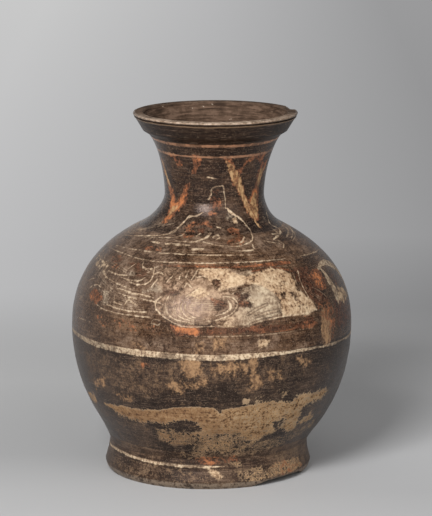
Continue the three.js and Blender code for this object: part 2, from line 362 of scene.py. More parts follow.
EDDY_INNER = [
    (0, [(-19, 219, 0.8), (-20, 212, 1.1), (-19, 206, 1.0), (-17, 200, 0.9), (-13, 196, 0.8),
         (-6, 193, 0.6)]),
    (0, [(-12, 217, 0.6), (-13, 211, 0.8), (-12, 205, 0.8), (-10, 200, 0.7), (-6, 196, 0.6)]),
    (0, [(5, 221, 0.6), (9, 220, 0.9), (11, 214, 1.0), (10, 208, 1.0), (8, 203, 0.8), (3, 198, 0.8),
         (-2, 196, 0.5)]),
    (0, [(-11, 220, 0.5), (-8, 225, 0.6), (-6, 228, 0.5)]),
    (0, [(-7, 239, 0.6), (-4, 240, 0.9), (-1, 239, 0.6)]),
    (0, [(15, 202, 0.7), (19, 207, 0.9), (24, 211, 0.6)]),
    (0, [(18, 199, 0.6), (23, 202, 1.2), (29, 204, 0.8)]),
    (0, [(43, 236, 0.6), (42, 228, 0.7), (43, 218, 0.7), (45, 208, 0.6)]),
    (0, [(51, 220, 0.8), (55, 214, 0.8), (58, 208, 0.6)]),
]
EDDY_FINE = [
    (2, [(-9, 211, 0.3), (-4, 212, 0.4), (1, 212, 0.3)]),
    (0, [(-9, 219, 0.4), (-8, 221, 0.4), (-6, 219, 0.4), (-7, 217, 0.4), (-9, 218, 0.4)]),
    (1, [(-17, 220, 0.3), (-17, 208, 0.3), (-13, 200, 0.3)]),
    (1, [(47, 221, 0.3), (49, 214, 0.3), (53, 208, 0.3)]),
    (1, [(60, 286, 0.3), (78, 272, 0.3), (86, 266, 0.3)]),
    (1, [(-60, 242, 0.3), (-52, 240, 0.3), (-46, 238, 0.3)]),
    (1, [(-56, 224, 0.3), (-50, 220, 0.3), (-40, 214, 0.3)]),
    (1, [(-72, 202, 0.3), (-76, 212, 0.3), (-74, 224, 0.3)]),
    (1, [(-66, 230, 0.3), (-58, 225, 0.3), (-48, 220, 0.3)]),
    (1, [(-54, 205, 0.3), (-44, 204, 0.3), (-30, 204, 0.3)]),
    (1, [(-36, 238, 0.3), (-33, 240, 0.3), (-27, 246, 0.3)]),
    (2, [(-68, 237, 0.3), (-58, 229, 0.3), (-47, 223, 0.3), (-36, 220, 0.3), (-27, 219, 0.2)]),
    (1, [(-62, 222, 0.3), (-54, 215, 0.3), (-44, 211, 0.3), (-32, 209, 0.3)]),
    (2, [(-84, 246, 0.3), (-74, 243, 0.4), (-64, 239, 0.3)]),
    (1, [(-74, 200, 0.3), (-78, 212, 0.3), (-74, 226, 0.3), (-65, 230, 0.3)]),
    (2, [(-88, 272, 0.3), (-76, 270, 0.3), (-65, 274, 0.3), (-57, 282, 0.3)]),
    (1, [(-34, 262, 0.2), (-10, 261, 0.3), (14, 261, 0.2)]),
    (1, [(-20, 206, 0.3), (-18, 198, 0.3), (-10, 193, 0.3), (0, 193, 0.3)]),
]
RIGHT_RING = [
    (0, [(63, 235, 1.2), (69, 238, 2.4), (77, 236, 4.0), (83, 230, 5.5), (88, 220, 6.0),
         (89, 212, 6.0), (87, 204, 5.0), (84, 196, 2.0)]),
    (0, [(65, 234, 1.8), (66, 229, 3.4), (66, 221, 5.0), (67, 213, 5.5), (67, 205, 4.4),
         (67, 197, 1.6)]),
]

# Leaf points hang from the neck's second line: iron red, with an ochre heart where it has rubbed through
LEAF = [(7, 360), (11, 354), (15, 341), (21, 329), (28, 319), (31, 312), (36, 303), (40, 295),
        (44, 286), (47, 277), (50, 277), (49, 287), (47, 297), (44, 307), (40, 314), (35, 325),
        (29, 337), (22, 347), (15, 359)]
LEAF_HEART = [(11, 355), (19, 349), (29, 336), (34, 325), (37, 315), (42, 306), (46, 297), (48, 286),
              (44, 289), (38, 301), (33, 312), (28, 321), (21, 331), (15, 342)]
LEAF_SIDE = [(73, 350), (69, 340), (65, 328), (61, 316), (62, 306), (57, 295), (50, 284), (46, 288),
             (45, 299), (44, 308), (50, 318), (55, 327), (53, 340), (58, 350)]
LEAF_SIDE_HEART = [(53, 315), (59, 312), (57, 298), (50, 287), (47, 296), (46, 304)]
LEAF_SIDE_TOP = [(58, 341), (67, 342), (64, 329), (60, 319), (56, 323)]
LEAVES = [(2.6, LEAF), (2.4, LEAF_SIDE)]
LEAF_TIPS = [
    (1.4, [(26, 342), (28, 347), (32, 351), (37, 356), (44, 359), (60, 359), (58, 349), (54, 347),
         (46, 354), (37, 353), (31, 345), (30, 337)]),
]
HEARTS = [
    (2.5, LEAF_HEART),
    (1.6, LEAF_SIDE_HEART),
    (0.9, LEAF_SIDE_TOP),
    (1.2, [(44, 287), (47, 286), (49, 278), (46, 279)]),
]
FORK = [
    (3.0, [(-58, 316), (-53, 312), (-49, 306), (-44, 310), (-38, 318), (-35, 328), (-28, 329),
         (-30, 315), (-34, 306), (-39, 299), (-43, 292), (-48, 283), (-53, 283), (-55, 294),
         (-61, 304)]),
    (2.3, [(-77, 350), (-69, 350), (-65, 334), (-58, 322), (-54, 313), (-61, 312), (-68, 322),
         (-74, 336)]),
    (1.6, [(-22, 360), (-12, 359), (-15, 350), (-21, 339), (-26, 338), (-22, 350)]),
    (1.2, [(-60, 360), (-38, 360), (-41, 357), (-50, 356)]),
    (0.1, [(-46, 356), (-34, 357), (-36, 347), (-44, 345)]),
]
FORK_HEARTS = [
    (0.9, [(-75, 348), (-70, 348), (-65, 333), (-59, 321), (-63, 320), (-69, 330)]),
    (0.8, [(-56, 360), (-42, 360), (-44, 358), (-52, 358)]),
    (0.3, [(-52, 300), (-44, 302), (-47, 292), (-53, 290)]),
]

# Washes and patches: how deep the paint is laid, as millimetres that its flaking can eat, and corners
CREAM = [
    (6, [(12, 241), (18, 240), (25, 243), (32, 245), (38, 242), (41, 237), (42, 229), (40, 222),
         (44, 216), (48, 206), (49, 200), (44, 196), (38, 196), (31, 198), (30, 206), (30, 214),
         (28, 222), (24, 229), (20, 232), (13, 232)]),
    (3, [(-7, 246), (-1, 247), (6, 247), (10, 245), (13, 241), (16, 240), (14, 232), (7, 229),
         (5, 226), (2, 229), (-1, 236), (-5, 242)]),
    (0.6, [(-10, 222), (-5, 229), (-1, 224), (-5, 218)]),
    (-1.1, [(-1, 197), (8, 199), (10, 196), (10, 191), (0, 191)]),
    (-0.9, [(-82, 242), (-66, 241), (-60, 238), (-61, 234), (-72, 235), (-84, 238)]),
    (0.5, [(71, 212), (78, 208), (83, 198), (74, 194), (68, 200)]),
    (1.2, [(19, 175), (24, 174), (22, 167), (19, 166)]),
    (0.9, [(20, 291), (25, 291), (25, 286), (21, 286)]),
    (1.0, [(0, 23), (5, 21), (8, 14), (5, 11), (2, 16)]),
]
CREAM_HOLES = [
    (0.7, [(37, 222), (39, 218), (40, 210), (38, 211), (37, 217)]),
    (0.4, [(34, 232), (36, 231), (37, 228), (35, 228)]),
    (0.3, [(32, 220), (34, 220), (34, 217), (32, 217)]),
    (0.2, [(39, 206), (42, 206), (42, 204), (40, 204)]),
    (1.2, [(1, 238), (4, 236), (5, 231), (3, 229), (1, 233)]),
]
VEIL = [
    (8, [(-23, 215), (-22, 221), (-16, 222), (-13, 226), (-9, 230), (-9, 237), (-8, 241), (0, 240),
         (2, 229), (5, 225), (9, 225), (11, 218), (10, 208), (8, 201), (4, 197), (-1, 192), (-7, 191),
         (-12, 192), (-16, 195), (-20, 200), (-23, 206)]),
    (7, [(10, 226), (20, 231), (24, 235), (29, 223), (31, 214), (31, 202), (23, 196), (15, 191),
         (9, 191), (6, 195), (10, 207), (13, 211), (11, 218)]),
    (2.6, [(-6, 246), (8, 247), (20, 244), (23, 238), (15, 231), (6, 227), (1, 231), (-6, 240)]),
    (0.6, [(-26, 246), (-8, 247), (-6, 232), (-14, 224), (-24, 226)]),
]
VEIL_HOLES = [
    (2.2, [(-1, 221), (3, 219), (8, 215), (7, 209), (2, 208), (0, 214)]),
    (1.6, [(11, 217), (16, 216), (17, 210), (12, 209)]),
    (2.4, [(9, 224), (13, 226), (17, 220), (13, 215), (11, 219)]),
    (1.5, [(-24, 206), (-22, 205), (-18, 198), (-14, 194), (-19, 196), (-23, 201)]),
    (1.2, [(1, 239), (4, 236), (5, 230), (3, 228), (1, 234)]),
    (0.8, [(8, 214), (10, 214), (11, 208), (9, 203), (8, 205)]),
]
GREY = [
    (1.5, [(-28, 226), (-26, 230), (-23, 229), (-22, 224), (-32, 221), (-32, 224)]),
    (1.5, [(-54, 216), (-52, 218), (-49, 213), (-48, 203), (-52, 203)]),
    (1.2, [(-42, 233), (-43, 238), (-38, 241), (-39, 235)]),
    (1.5, [(14, 296), (21, 296), (24, 288), (18, 286), (13, 290)]),
    (1.5, [(11, 224), (18, 226), (24, 221), (20, 216)]),
]
ORANGE = [
    (2.1, [(57, 236), (62, 236), (63, 226), (61, 216), (55, 214), (52, 222), (53, 231)]),
    (4, [(-17, 191), (-6, 191), (-3, 185), (-5, 180), (-14, 179)]),
    (0.6, [(-6, 190), (2, 190), (1, 184), (-4, 184)]),
    (0.3, [(-5, 318), (4, 322), (7, 311), (8, 300), (3, 294), (-5, 296)]),
    (1.0, [(13, 280), (18, 283), (23, 281), (28, 275), (22, 273), (17, 275)]),
    (1.4, [(11, 270), (17, 273), (27, 274), (23, 268), (17, 266), (12, 267)]),
    (0.2, [(-25, 281), (-20, 286), (-15, 289), (-7, 290), (2, 285), (1, 282), (-8, 285), (-15, 284),
         (-20, 280)]),
    (0.0, [(-24, 276), (-22, 280), (-15, 280), (-12, 277), (-15, 273), (-21, 273)]),
    (1.1, [(-65, 208), (-62, 215), (-56, 213), (-53, 207), (-57, 201), (-62, 202)]),
    (0.9, [(-1, 221), (1, 218), (6, 215), (6, 211), (1, 212)]),
    (0.9, [(11, 217), (17, 215), (17, 210), (12, 210)]),
    (0.1, [(50, 203), (60, 200), (61, 190), (56, 184), (50, 190)]),
    (0.3, [(57, 185), (61, 183), (60, 169), (57, 160), (55, 172)]),
    (0.5, [(32, 186), (44, 189), (49, 184), (43, 179), (36, 182)]),
    (0.9, [(16, 190), (22, 190), (22, 184), (16, 184)]),
    (-2.4, [(3, 190), (46, 193), (49, 184), (4, 182)]),
    (-0.6, [(-55, 191), (-38, 191), (-20, 189), (-20, 181), (-50, 181)]),
    (0.3, [(-50, 190), (-45, 188), (-45, 182), (-49, 183)]),
    (0.7, [(-11, 34), (3, 37), (16, 37), (18, 30), (6, 28), (-10, 28)]),
    (-0.2, [(33, 16), (42, 23), (64, 21), (66, 10), (53, 9), (34, 8)]),
    (0.3, [(-64, 247), (-61, 250), (-56, 250), (-57, 247)]),
    (0.9, [(-58, 239), (-56, 243), (-52, 242), (-53, 238)]),
    (0.4, [(-47, 263), (-31, 263), (-31, 260), (-44, 260)]),
    (-0.9, [(-30, 250), (24, 251), (24, 246), (-20, 246)]),
    (0.6, [(-29, 147), (-25, 148), (-25, 143), (-29, 142)]),
]
ORANGE_LINES = [
    (0, [(-24, 248, 0.2), (-8, 249, 0.7), (8, 248, 0.8), (20, 248, 0.9), (27, 248, 1.5),
         (38, 248, 2.0), (45, 247, 1.2)]),
    (0, [(-12, 247, 0.3), (12, 243, 0.3), (25, 244, 0.8), (33, 245, 0.5), (41, 241, 1.1)]),
    (0, [(20, 182, 0.1), (33, 182, 0.5), (45, 184, 0.7)]),
]
NECK_LINES = [
    (0, [(-180, 372, 1.2), (-80, 373, 1.3), (-40, 372, 1.5), (0, 372, 1.5), (40, 372, 1.6),
         (80, 373, 1.4), (120, 373, 1.1), (180, 372, 1.2)]),
    (0, [(-180, 360, 1.0), (-80, 360, 1.1), (-52, 359, 1.5), (-36, 359, 0.7), (-10, 359, 1.0),
         (4, 359, 0.8), (12, 359, 1.3), (40, 359, 1.3), (80, 360, 1.5), (120, 360, 1.0),
         (180, 360, 1.0)]),
]
MAROON = [
    (1.5, [(-47, 246), (-40, 249), (-38, 244), (-33, 242), (-32, 236), (-37, 235), (-41, 242)]),
    (1.5, [(-62, 245), (-53, 249), (-54, 244), (-59, 242)]),
    (2, [(-24, 233), (-14, 233), (-14, 222), (-20, 220)]),
    (1.5, [(2, 239), (5, 236), (4, 229), (1, 231)]),
    (1.5, [(9, 223), (12, 225), (15, 219), (13, 216), (11, 219)]),
    (4, [(42, 241), (56, 241), (53, 225), (60, 203), (51, 201), (46, 212), (43, 228)]),
    (4, [(62, 202), (85, 192), (88, 172), (64, 168), (62, 184)]),
    (2, [(70, 228), (76, 225), (76, 216), (72, 213), (70, 220)]),
    (4, [(-10, 189), (30, 189), (46, 192), (48, 184), (30, 182), (-10, 182)]),
    (1.6, [(-3, 323), (6, 323), (5, 310), (7, 303), (1, 294), (-5, 294), (-2, 307)]),
    (1.2, [(-13, 281), (-6, 282), (-6, 277), (-11, 277)]),
]
TAN = [
    (7, [(-56, 89), (-48, 91), (-42, 92), (-33, 92), (-24, 94), (-16, 99), (-6, 101), (1, 100),
         (3, 95), (5, 98), (14, 101), (18, 102), (22, 105), (28, 104), (33, 101), (36, 100),
         (38, 104), (41, 107), (48, 105), (58, 106), (60, 102), (57, 95), (48, 92), (45, 87),
         (44, 78), (44, 72), (45, 68), (44, 61), (40, 61), (34, 69), (32, 64), (26, 60), (24, 55),
         (18, 56), (12, 66), (-3, 66), (-6, 80), (-11, 85), (-17, 82), (-22, 76), (-27, 79),
         (-33, 75), (-42, 77)]),
    (0.9, [(-27, 70), (-6, 72), (20, 68), (26, 60), (22, 50), (14, 42), (-4, 44), (-18, 48), (-27, 56)]),
    (1.6, [(52, 79), (57, 75), (57, 72), (53, 69), (47, 68), (45, 71), (48, 76)]),
    (-0.4, [(-20, 50), (14, 48), (44, 58), (60, 66), (62, 58), (40, 44), (10, 32), (-12, 33)]),
    (0.6, [(13, 110), (16, 110), (16, 104), (13, 102)]),
    (0.4, [(19, 110), (21, 110), (21, 104), (19, 104)]),
    (0.4, [(30, 113), (33, 112), (33, 109), (31, 110)]),
    (1.5, [(33, 15), (42, 23), (64, 21), (66, 10), (53, 9), (39, 8), (34, 8)]),
    (0.3, [(14, 18), (34, 22), (34, 8), (20, 7)]),
    (-1.4, [(-70, 10), (-50, 22), (-18, 20), (0, 14), (-20, 6), (-50, 4)]),
    (1.2, [(11, 31), (18, 29), (21, 25), (17, 24), (12, 27)]),
    (0.8, [(-74, 92), (-68, 96), (-63, 92), (-67, 82), (-73, 84)]),
]
CLAY_HOLES = [
    (3, [(-19, 76), (-16, 81), (-11, 84), (-6, 79), (-5, 70), (-12, 67), (-18, 67)]),
    (2, [(30, 78), (35, 81), (36, 78), (35, 72), (34, 68), (32, 65), (30, 72)]),
    (0.8, [(44, 88), (46, 92), (51, 95), (50, 91), (46, 87)]),
    (2, [(-20, 52), (-9, 52), (-10, 43), (-19, 43)]),
    (1, [(2, 101), (4, 101), (4, 93), (3, 93)]),
]
SMUDGES = [
    (3.6, [(-12, 156), (-6, 157), (-4, 148), (-4, 139), (-8, 132), (-11, 133), (-12, 145)]),
    (1.0, [(-18, 126), (-11, 132), (-2, 135), (-2, 127), (-9, 120), (-16, 115)]),
    (1.5, [(-1, 148), (5, 151), (15, 149), (15, 137), (8, 135), (0, 140)]),
    (3.6, [(14, 157), (19, 157), (18, 142), (21, 128), (20, 119), (16, 121), (15, 141)]),
    (3.6, [(52, 200), (56, 195), (58, 176), (57, 160), (53, 157), (49, 170), (50, 185)]),
    (1.2, [(6, 156), (9, 155), (9, 148), (6, 148)]),
    (0.8, [(23, 140), (29, 138), (29, 131), (24, 131)]),
    (1.5, [(-60, 114), (-50, 122), (-51, 112), (-59, 106)]),
    (1.2, [(-45, 106), (-37, 109), (-37, 101), (-43, 99)]),
    (1.2, [(-72, 92), (-63, 96), (-64, 86), (-72, 84)]),
    (2, [(1, 178), (6, 178), (5, 166), (1, 166)]),
    (1, [(-6, 172), (-3, 172), (-4, 162), (-6, 162)]),
    (1, [(-33, 168), (-30, 170), (-28, 163), (-32, 163)]),
    (0.7, [(36, 149), (45, 144), (44, 138), (37, 144)]),
]
# Worn, paler skin; the first two patches, on the shoulder's front, are partly painted light
WORN_AND_LIT_PATCHES = [
    (8, [(-88, 208), (-88, 266), (-24, 268), (-12, 246), (-24, 194), (-50, 202)]),
    (7, [(-88, 262), (-60, 288), (24, 290), (56, 262)]),
    (10, [(-60, 116), (-66, 150), (30, 152), (26, 130), (-8, 122), (-30, 106)]),
    (6, [(-40, 176), (28, 178), (26, 162), (-38, 164)]),
    (14, [(110, 100), (130, 150), (200, 146), (190, 90)]),
    (14, [(150, 200), (150, 260), (230, 262), (230, 200)]),
]

# The side away from the camera repeats the same motifs, a little out of step
BACK = 180
SIDE = 72
BACK_CLOUD = 146
LEFT_CLOUD = -128
BACK_WEAR = 165
LINES = {
    "bold": LEVEL_LINES + BELLY_BAND + FOOT_LINE + CLOUD_HEAD + RIGHT_RING
    + turned(CLOUD_HEAD, BACK_CLOUD) + turned(CLOUD_HEAD, LEFT_CLOUD, 1) + turned(RIGHT_RING, BACK, 1),
    "first": CLOUD_INNER + CLOUD_TAIL + SCROLL + EDDY + LEVEL_LINES_LOW
    + turned(CLOUD_INNER, BACK_CLOUD) + turned(SCROLL, BACK, -1) + turned(EDDY, BACK, -1),
    "second": CLOUD_FINE + CLOUD_TAIL_INNER + SCROLL_INNER + EDDY_INNER
    + turned(CLOUD_FINE, BACK_CLOUD) + turned(SCROLL_INNER, BACK, -1) + turned(EDDY_INNER, BACK, -1),
    "fine": EDDY_FINE + turned(EDDY_FINE, BACK, -1),
    "red": ORANGE_LINES + NECK_LINES + turned(ORANGE_LINES, BACK, -1),
}
PITCHES = {"bold": SINGLE, "first": COMB_PITCH, "second": COMB_PITCH, "fine": FINE_PITCH, "red": SINGLE}
POINTS = LEAVES + LEAF_TIPS
PATCHES = {
    "cream": CREAM + turned(CREAM, BACK, -2),
    "veil": VEIL + turned(VEIL, BACK, -2),
    "grey": GREY + turned(GREY, BACK, -2),
    "orange": POINTS + FORK + ORANGE + turned(ORANGE, BACK, -1)
    + turned(POINTS, SIDE) + turned(POINTS, 2 * SIDE) + turned(FORK, -SIDE),
    "ochre": HEARTS + FORK_HEARTS
    + turned(HEARTS, SIDE) + turned(HEARTS, 2 * SIDE) + turned(FORK_HEARTS, -SIDE),
    "maroon": MAROON + turned(MAROON, BACK, -2),
    "tan": TAN + turned(TAN, BACK_WEAR, -4),
    "smudge": SMUDGES + turned(SMUDGES, BACK_WEAR, -2),
    "worn": WORN_AND_LIT_PATCHES,
}
HOLES = {"cream": CREAM_HOLES, "veil": VEIL_HOLES, "tan": CLAY_HOLES}
FIELDS = ["behind", *PATCHES, *(line + part for line in LINES for part in ("", "_within", "_size"))]

# Millimetres: the value where nothing is painted, how far fields reach, and the steps along an edge
FAR = 40
LINE_MARGIN = 8
PATCH_MARGIN = 16
EDGE_STEP = 1.4
LINE_FADE = 0.9
SPOTS_AT_ONCE = 4000


# The spots near a run, picked by a box round it, and the place of the run that is nearest to each
def near(spots, run, margin):
    low, high = run.min(axis=0) - margin, run.max(axis=0) + margin
    picked = np.flatnonzero(np.all((spots > low) & (spots < high), axis=1))
    nearest = np.zeros(len(picked), int)
    for part in np.array_split(np.arange(len(picked)), len(picked) // SPOTS_AT_ONCE + 1):
        gaps = spots[picked[part], None, :] - run[None, :, :]
        nearest[part] = np.argmin(np.einsum("ijk,ijk->ij", gaps, gaps), axis=1)
    return picked, nearest


# For the brush lines: how far a spot lies across the nearest stroke and inside it, and half its width
def line_field(spots, work, pitch):
    across, size = np.zeros(len(spots)), np.full(len(spots), 0.5)
    within = np.full(len(spots), -FAR, float)
    for extra, places in work:
        run = smooth_run(places)
        points = on_skin(run[:, 0], run[:, 1])
        ways = np.gradient(points, axis=0)
        sides = np.cross(points * (1, 1, 0), ways)
        sides /= np.linalg.norm(sides, axis=1)[:, None]
        reach = extra * pitch
        picked, nearest = near(spots, points, LINE_MARGIN + reach)
        gap = spots[picked] - points[nearest]
        inside_by = reach + run[nearest, 2] + LINE_FADE - np.linalg.norm(gap, axis=1)
        better = inside_by > within[picked]
        picked, nearest, gap = picked[better], nearest[better], gap[better]
        within[picked] = inside_by[better]
        across[picked] = np.einsum("ij,ij->i", gap, sides[nearest])
        size[picked] = run[nearest, 2]
    return across, within, size


# Which places lie inside a patch, by how often a level line from them crosses its sides
def within_corners(angles, heights, corners):
    found = np.zeros(len(angles), bool)
    for (a, b), (c, d) in zip(corners, np.roll(corners, -1, axis=0)):
        crosses = (b > heights) != (d > heights)
        found ^= crosses & (angles < a + (heights - b) / (d - b if d != b else 1) * (c - a))
    return found


# For a patch: millimetres inside its edge, never more than it is deep, and below zero outside
def patch_field(angles, spots, work, cuts):
    field = np.full(len(spots), -FAR, float)
    for painted, patches in ((True, work), (False, cuts)):
        for depth, corners in patches:
            corners = np.array(corners, float)
            sides = zip(corners, np.roll(corners, -1, axis=0))
            edge = np.vstack([np.linspace(a, b, steps_between(a, b, EDGE_STEP)) for a, b in sides])
            points = on_skin(edge[:, 0], edge[:, 1])
            picked, nearest = near(spots, points, PATCH_MARGIN)
            away = np.linalg.norm(spots[picked] - points[nearest], axis=1)
            middle = corners[:, 0].mean()
            around = (angles[picked] - middle + 180) % 360 - 180 + middle
            inside = within_corners(around, spots[picked, 2], corners)
            signed = np.where(inside, np.minimum(away, depth), -away)
            if painted:
                field[picked] = np.maximum(field[picked], signed)
            else:
                field[picked] = np.minimum(field[picked], -signed)
    return field


# Wear of the form itself
CHIP_ANGLE = 48
CHIP_HALF_LENGTH = 41
CHIP_DEPTH = 6
LIP_CHIP_ANGLE = 110
LIP_CHIP_HALF = 9
LIP_CHIP_DEPTH = 1.6
FOOT_CRUMBS = 0.7
LIP_CRUMBS = 0.8

# Unevenness of a thrown wall: noise steps per millimetre, and how high it stands in millimetres
WAVES = ((0.014, 0.7), (0.06, 0.18))
CRUMBS_PER_MM = 0.35


# How high the foot is broken away at each angle
def chip_lift(angle, radius):
    along = np.radians(angle - CHIP_ANGLE) * radius
    return CHIP_DEPTH * np.clip(1 - (along / CHIP_HALF_LENGTH) ** 4, 0, None)


def unevenness(points, steps):
    return np.array([noise.noise(Vector(point) * steps) for point in points])


# A thrown wall's unevenness, the foot's broken place and the dip in the lip
def worn(points, angle, radius):
    rough = sum(unevenness(points, steps) * stands for steps, stands in WAVES)
    crumbs = unevenness(points, CRUMBS_PER_MM)
    height = points[:, 2].copy()
    lift = chip_lift(angle, radius)
    broken = (lift > 0) & (height < lift)
    height = np.where(broken, lift + crumbs * FOOT_CRUMBS, height)
    near_lip = np.clip((height - LIP_TOP + 5) / 3, 0, 1) * np.clip((radius - LIP_RADIUS + 8) / 5, 0, 1)
    gone = np.clip(1 - np.abs(angle - LIP_CHIP_ANGLE) / LIP_CHIP_HALF, 0, 1) ** 0.6
    height -= near_lip * gone * (LIP_CHIP_DEPTH + crumbs * LIP_CRUMBS)
    radius = radius + rough * np.clip((radius - 40) / 10, 0, 1) - broken * 0.9 - near_lip * gone * 1.5
    return radius, height


MERGE_GAP = 0.01
SMOOTH_BELOW = math.radians(38)


# A section thrown on the wheel: its closed profile is drawn point by point and spun, in finer steps
# over the painted front than over the back
def throw(name, profile, front_steps, back_steps):
    bpy.ops.object.select_all(action="DESELECT")
    start = profile[0]
    bpy.ops.mesh.primitive_plane_add(size=1, location=(start[0], 0, start[1]))
    piece = bpy.context.object
    piece.name = name
    bpy.ops.object.transform_apply(location=True)
    bpy.ops.object.mode_set(mode="EDIT")
    bpy.ops.mesh.select_all(action="SELECT")
    bpy.ops.mesh.merge(type="CENTER")
    for here, there in zip(profile, list(profile[1:]) + [profile[0]]):
        step = (there[0] - here[0], 0, there[1] - here[1])
        bpy.ops.mesh.extrude_region_move(TRANSFORM_OT_translate={"value": step})
    bpy.ops.mesh.select_all(action="SELECT")
    bpy.ops.mesh.remove_doubles(threshold=MERGE_GAP)
    for steps in (front_steps, back_steps):
        bpy.ops.mesh.spin(steps=steps, angle=-math.pi, center=(0, 0, 0), axis=(0, 0, 1))
    bpy.ops.mesh.select_all(action="SELECT")
    bpy.ops.mesh.remove_doubles(threshold=MERGE_GAP)
    bpy.ops.mesh.normals_make_consistent(inside=False)
    bpy.ops.object.mode_set(mode="OBJECT")
    return piece


# Sets a thrown section in its place: brushwork first, then wear, then the drift of its axis
def finish_section(piece, node, material):
    mesh = piece.data
    points = np.zeros(len(mesh.vertices) * 3, np.float32)
    mesh.vertices.foreach_get("co", points)
    points = points.reshape(-1, 3).astype(float)
    radius = np.hypot(points[:, 0], points[:, 1])
    angle = np.degrees(np.arctan2(points[:, 0], -points[:, 1]))
    spots = on_skin(angle, np.clip(points[:, 2], 0, LIP_TOP - 1))
    fields = {"behind": outer_radius(points[:, 2]) - radius}
    for name, work in PATCHES.items():
        fields[name] = patch_field(angle, spots, work, HOLES.get(name, []))
    for name, work in LINES.items():
        found = line_field(spots, work, PITCHES[name])
        fields[name], fields[name + "_within"], fields[name + "_size"] = found
    for name, values in fields.items():
        mesh.attributes.new(name, "FLOAT", "POINT").data.foreach_set("value", values.astype(np.float32))
    new_radius, height = worn(points, angle, radius)
    turn = np.radians(angle)
    sideways = new_radius * np.sin(turn) + shift(points[:, 2])
    placed = np.column_stack((sideways, -new_radius * np.cos(turn), height))
    mesh.vertices.foreach_set("co", (placed * MM).astype(np.float32).ravel())
    mesh.update()
    bpy.ops.object.select_all(action="DESELECT")
    piece.select_set(True)
    bpy.context.view_layer.objects.active = piece
    bpy.ops.object.shade_smooth_by_angle(angle=SMOOTH_BELOW)
    mesh.materials.append(material)
    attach(piece, "root")
    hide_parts(node)


# Materials
def srgb(code):
    values = [int(code[i : i + 2], 16) / 255 for i in (1, 3, 5)]
    return [v / 12.92 if v <= 0.04045 else ((v + 0.055) / 1.055) ** 2.4 for v in values] + [1]


# The nodes in use: kind, settings, the sockets that are filled in order, and the output passed on
NODES = {
    "place": ("TexCoord", {}, (), "Object"),
    "axis": ("SeparateXYZ", {}, (0,), 0),
    "field": ("Attribute", {}, (), "Fac"),
    "blots": ("TexNoise", {}, ("Vector", "Scale", "Detail", "Roughness"), 0),
    "stretch": ("VectorMath", {"operation": "MULTIPLY"}, (0, 1), 0),
    "plus": ("Math", {"operation": "ADD"}, (0, 1), 0),
    "minus": ("Math", {"operation": "SUBTRACT"}, (0, 1), 0),
    "times": ("Math", {"operation": "MULTIPLY"}, (0, 1), 0),
    "times_plus": ("Math", {"operation": "MULTIPLY_ADD"}, (0, 1, 2), 0),
    "larger": ("Math", {"operation": "MAXIMUM"}, (0, 1), 0),
    "unsigned": ("Math", {"operation": "ABSOLUTE"}, (0,), 0),
    "to_and_fro": ("Math", {"operation": "PINGPONG"}, (0, 1), 0),
    "span": ("MapRange", {}, (0, 1, 2), 0),
    "step": ("MapRange", {"interpolation_type": "SMOOTHSTEP"}, (0, 1, 2), 0),
    "ramp": ("ValToRGB", {}, (0,), 0),
    "over": ("Mix", {"data_type": "RGBA"}, (0, 6, 7), 2),
    "relief": ("Bump", {}, ("Strength", "Distance", "Height"), 0),
    "coat": (
        "BsdfPrincipled",
        {},
        ("Base Color", "Roughness", "Normal", "Specular IOR Level", "Specular Tint"),
        0,
    ),
    "ray": ("LightPath", {}, (), 0),
    "glow": ("Emission", {}, ("Color", "Strength"), 0),
    "either": ("MixShader", {}, (0, 1, 2), 0),
    "output": ("OutputMaterial", {}, ("Surface",), None),
}


# Adds a node with its sockets as values or links, its further settings and a ramp's stops by name
def add(tree, name, *inputs, out=None, stops=(), **further):
    kind, settings, sockets, output = NODES[name]
    made = tree.nodes.new("ShaderNode" + kind)
    for key, value in {**settings, **further}.items():
        setattr(made, key, value)
    for socket, value in zip(sockets, inputs):
        if isinstance(value, bpy.types.NodeSocket):
            tree.links.new(value, made.inputs[socket])
        else:
            made.inputs[socket].default_value = value
    if stops:
        elements = made.color_ramp.elements
        while len(elements) < len(stops):
            elements.new(1)
        for element, (place, colour) in zip(elements, stops):
            element.position = place
        for element, (place, colour) in zip(elements, stops):
            element.color = srgb(colour)
    return made.outputs[output if out is None else out] if made.outputs else made


GRAIN = 1000  # a noise of scale GRAIN / size has blots of about that size in millimetres
# Noise patterns: blot size in millimetres, detail, roughness, and how much finer they are on each axis.
# Nearly all of a pattern lies between 0.4 and 0.6, so steps and ramps cut it close to 0.5.
PATTERNS = (
    (60, 5, 0.6, None),  # clouds in the slip
    (16, 6, 0.65, None),  # smears of a rubbing hand
    (6, 5, 0.65, None),  # flecks, where paint flakes
    (2.6, 4, 0.65, None),  # fine crumbling
    (1.1, 3, 0.6, None),  # grit of the clay
    (34, 5, 0.75, (1, 1, 16)),  # level lines of the wheel
    (3.4, 4, 0.6, (1, 1, 0.16)),  # runs down the wall
    (15, 3, 0.6, (1, 1, 15)),  # level scratches
    (4, 2, 0.4, None),  # pale specks inside
)
STRENGTHS = {"bold": 0.95, "first": 0.85, "second": 0.8, "fine": 0.55}
LIP_GROOVE = LIP_TOP - 3.4
DRIP_EDGE = LIP_TOP - 5


